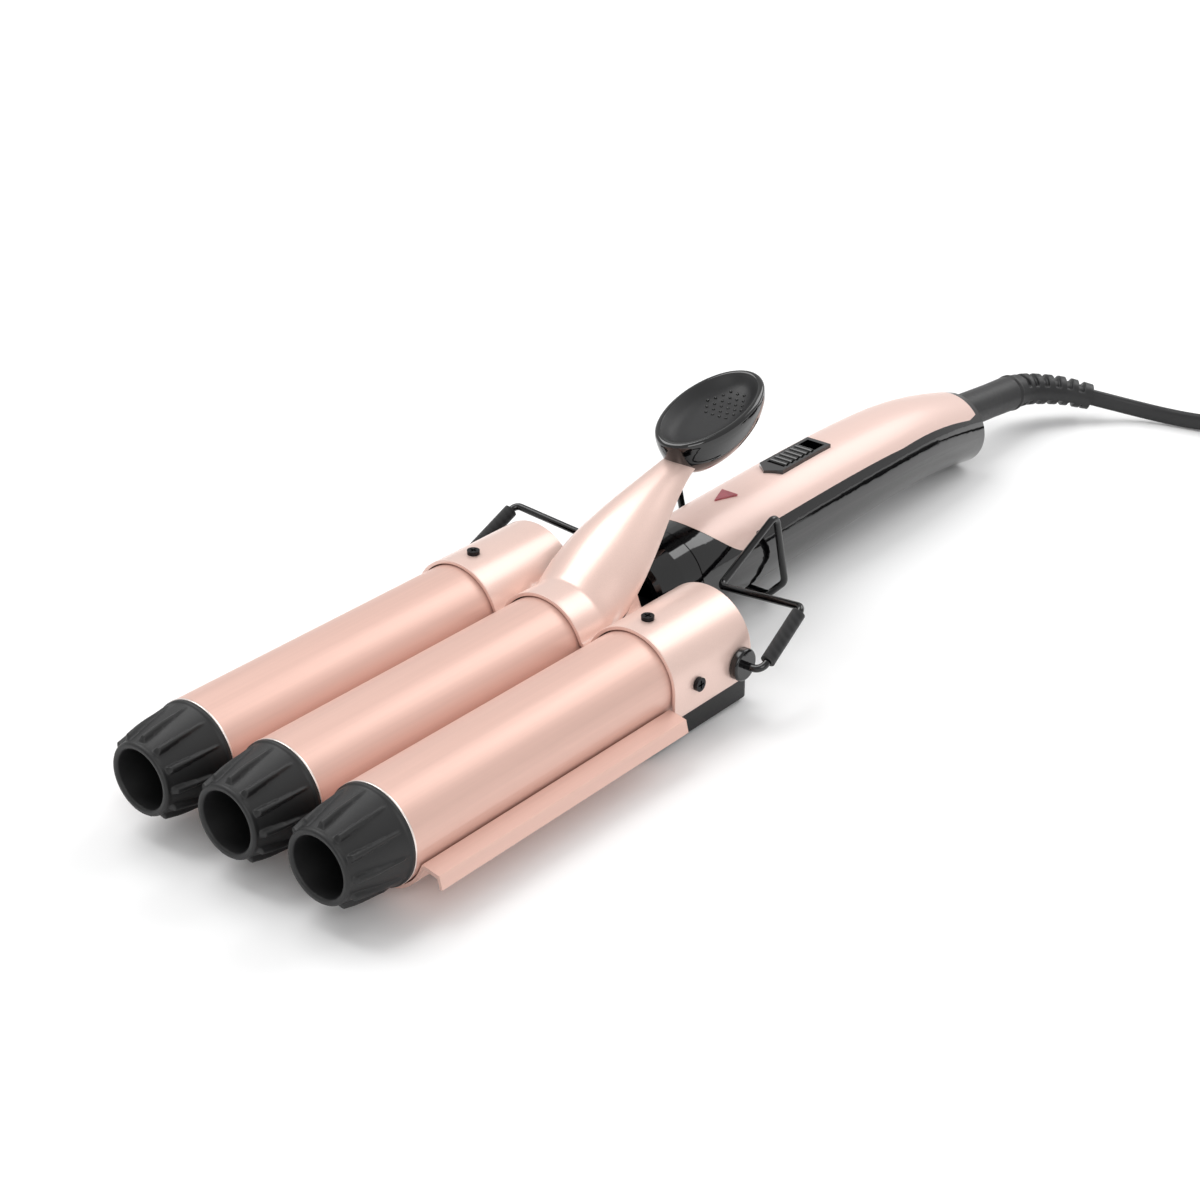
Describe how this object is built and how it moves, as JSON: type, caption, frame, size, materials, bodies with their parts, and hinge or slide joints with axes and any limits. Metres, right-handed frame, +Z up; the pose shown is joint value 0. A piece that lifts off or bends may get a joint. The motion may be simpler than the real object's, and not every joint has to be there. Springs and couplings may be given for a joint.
{
  "type": "hair curling iron",
  "caption": "Curling iron for deep waves: side-by-side heated barrels with ribbed end caps over a sprung trough plate, thumb lever, wire stand, slide switch and swivel lead.",
  "frame": {"origin": "on the table under the middle of the waver without its lead, halfway from the barrels' mouths to the rear end of the swivel", "axes": "+Y from the barrels' mouths to the handle, +X to the right looking along +Y, +Z up"},
  "size_m": [0.2427, 0.4995, 0.0798],
  "materials": {
    "barrel_coating": "satin rose-gold ceramic coating on aluminium",
    "plate_coating": "satin rose-gold coating on pressed sheet",
    "pearl_paint": "champagne-pink pearl paint",
    "pink_satin": "satin pink painted ABS",
    "cap_plastic": "fine spark-eroded texture, heat-proof plastic",
    "satin_black": "satin moulded plastic",
    "gloss_black": "polished moulded plastic",
    "black_screw": "black oxide",
    "black_enamel": "gloss black enamel",
    "rivet_steel": "plain",
    "spring_steel": "oiled wire",
    "heater_aluminium": "extruded",
    "lead_sleeve": "glass-fibre sleeving",
    "red_lens": "translucent moulded",
    "board": "epoxy board",
    "contact_brass": "plain",
    "cord_vinyl": "matt PVC",
    "tie_rubber": "matt",
    "blade_nickel": "nickel plate",
    "sleeve_fabric": "braided heat sleeve"
  },
  "bodies": {
    "handle": {"trough_plate": "plate_coating", "plate_rivets": "rivet_steel", "base_housing": "satin_black", "neck_cone": "gloss_black", "hinge_pin_left": "black_enamel", "hinge_pin_right": "black_enamel", "torsion_spring": "spring_steel", "handle_upper_shell": "gloss_black", "handle_lower_shell": "gloss_black", "handle_inlay": "pink_satin", "handle_screws": "black_screw", "switch_bezel": "gloss_black", "switch_housing": "satin_black", "indicator_lens": "red_lens", "indicator_led": "red_lens", "circuit_board": "board", "swivel_holder": "satin_black", "contact_brushes": "contact_brass"},
    "barrel_jaw": {"barrel_left": "barrel_coating", "barrel_middle": "barrel_coating", "barrel_right": "barrel_coating", "end_cap_left": "cap_plastic", "end_cap_middle": "cap_plastic", "end_cap_right": "cap_plastic", "heater_left": "heater_aluminium", "heater_middle": "heater_aluminium", "heater_right": "heater_aluminium", "thermal_fuse": "heater_aluminium", "heater_leads": "lead_sleeve", "saddle_cover": "pearl_paint", "thumb_rest": "gloss_black", "thumb_rest_screw": "black_screw", "barrel_carrier": "cap_plastic", "hump_screws": "black_screw", "skirt_screws": "black_screw"},
    "switch": {"switch_slider": "gloss_black"},
    "stand": {"stand_wire": "black_enamel", "stand_sleeve_left": "sleeve_fabric", "stand_sleeve_right": "sleeve_fabric"},
    "lead": {"cord_swivel": "satin_black", "contact_rings": "contact_brass", "strain_relief": "cord_vinyl", "cord_tube": "cord_vinyl", "cord_coil": "cord_vinyl", "cord_tie": "tie_rubber", "cord_tail": "cord_vinyl", "plug_body": "cord_vinyl", "plug_blades": "blade_nickel"}
  },
  "joints": [
    {"name": "jaw_hinge", "type": "hinge", "parent": "handle", "child": "barrel_jaw", "pos_m": [0, -0.0418, 0.0191], "axis": [-1, 0, 0], "range_deg": [0, 12.5], "stiffness_Nm_per_rad": 1.2, "springref_deg": -25.78, "deforming": ["torsion_spring"]},
    {"name": "stand_hinge", "type": "hinge", "parent": "handle", "child": "stand", "pos_m": [0, -0.0418, 0.0191], "axis": [-1, 0, 0], "range_deg": [0, 108]},
    {"name": "switch_slide", "type": "slide", "parent": "handle", "child": "switch", "axis": [0, 1, 0], "range_m": [0, 0.004]},
    {"name": "cord_swivel", "type": "hinge", "parent": "handle", "child": "lead", "pos_m": [0, 0.169, 0.0195], "axis": [0, 0.9951, -0.0993], "range_deg": [-180, 180]}
  ]
}
